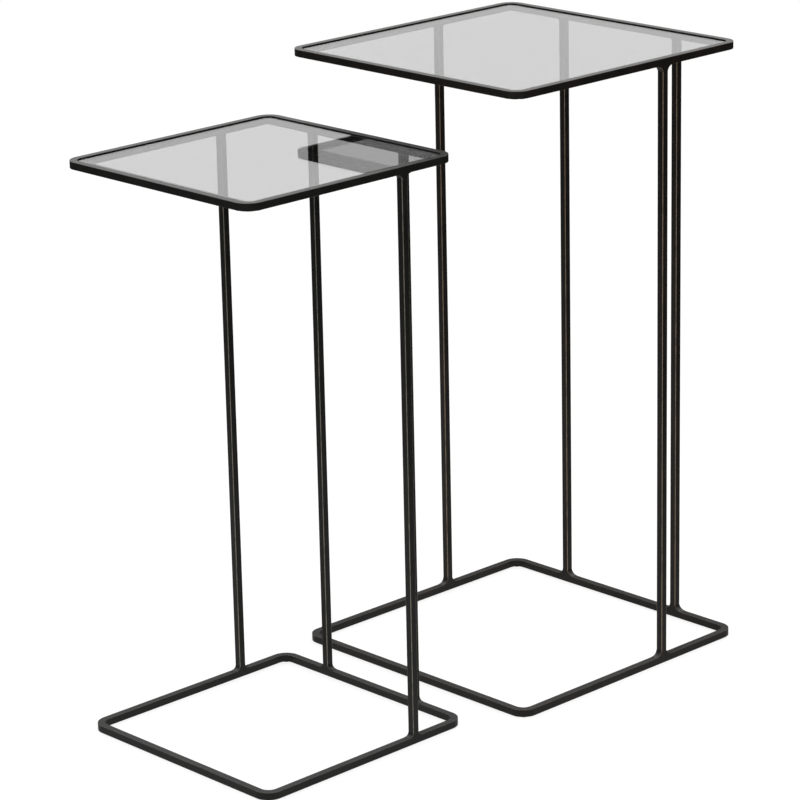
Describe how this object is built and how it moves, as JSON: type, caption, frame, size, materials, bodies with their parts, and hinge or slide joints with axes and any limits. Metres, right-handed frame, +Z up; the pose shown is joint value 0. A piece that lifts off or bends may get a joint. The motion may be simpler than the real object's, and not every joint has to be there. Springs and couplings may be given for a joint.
{
  "type": "nesting tables",
  "caption": "Set of C-shaped side tables, one larger and one smaller, in thin square steel bar with inset smoked glass tops, open at the front so that they stand close or over a seat.",
  "frame": {"origin": "on the floor, at the middle of the rectangle of ground that both tables cover as they stand", "axes": "+Z up; +Y from the small table towards the large one, which is the back of both tables and the way the small one moves to nest; +X to the right, along the two back rails"},
  "size_m": [0.35, 0.689, 0.695],
  "materials": {
    "blackened_steel": "black-brown patinated steel, satin, with a faint bronze cast on the edges",
    "smoked_glass": "polished clear-grey smoked float glass",
    "clear_silicone": "soft clear silicone",
    "grey_felt": "pressed wool felt"
  },
  "bodies": {
    "large_frame": {"large_base_ring": "blackened_steel", "large_top_ring": "blackened_steel", "large_leg_left": "blackened_steel", "large_leg_back_left": "blackened_steel", "large_leg_back_right": "blackened_steel", "large_leg_right": "blackened_steel", "large_weld_left_foot": "blackened_steel", "large_weld_left_head": "blackened_steel", "large_weld_back_left_foot": "blackened_steel", "large_weld_back_left_head": "blackened_steel", "large_weld_back_right_foot": "blackened_steel", "large_weld_back_right_head": "blackened_steel", "large_weld_right_foot": "blackened_steel", "large_weld_right_head": "blackened_steel", "large_glass_ledge": "blackened_steel", "large_bumper_1": "clear_silicone", "large_bumper_2": "clear_silicone", "large_bumper_3": "clear_silicone", "large_bumper_4": "clear_silicone", "large_glide_1": "grey_felt", "large_glide_2": "grey_felt", "large_glide_3": "grey_felt", "large_glide_4": "grey_felt"},
    "large_glass": {"large_glass_pane": "smoked_glass"},
    "small_frame": {"small_base_ring": "blackened_steel", "small_top_ring": "blackened_steel", "small_leg_left": "blackened_steel", "small_leg_back_left": "blackened_steel", "small_leg_back_right": "blackened_steel", "small_leg_right": "blackened_steel", "small_weld_left_foot": "blackened_steel", "small_weld_left_head": "blackened_steel", "small_weld_back_left_foot": "blackened_steel", "small_weld_back_left_head": "blackened_steel", "small_weld_back_right_foot": "blackened_steel", "small_weld_back_right_head": "blackened_steel", "small_weld_right_foot": "blackened_steel", "small_weld_right_head": "blackened_steel", "small_glass_ledge": "blackened_steel", "small_bumper_1": "clear_silicone", "small_bumper_2": "clear_silicone", "small_bumper_3": "clear_silicone", "small_bumper_4": "clear_silicone", "small_glide_1": "grey_felt", "small_glide_2": "grey_felt", "small_glide_3": "grey_felt", "small_glide_4": "grey_felt"},
    "small_glass": {"small_glass_pane": "smoked_glass"}
  },
  "joints": [
    {"name": "small_table_slide", "type": "slide", "parent": "large_frame", "child": "small_frame", "axis": [0, 1, 0], "range_m": [-0.3, 0.05]},
    {"name": "large_glass_lift", "type": "slide", "parent": "large_frame", "child": "large_glass", "axis": [0, 0, 1], "range_m": [0, 0.1]},
    {"name": "small_glass_lift", "type": "slide", "parent": "small_frame", "child": "small_glass", "axis": [0, 0, 1], "range_m": [0, 0.1]}
  ]
}
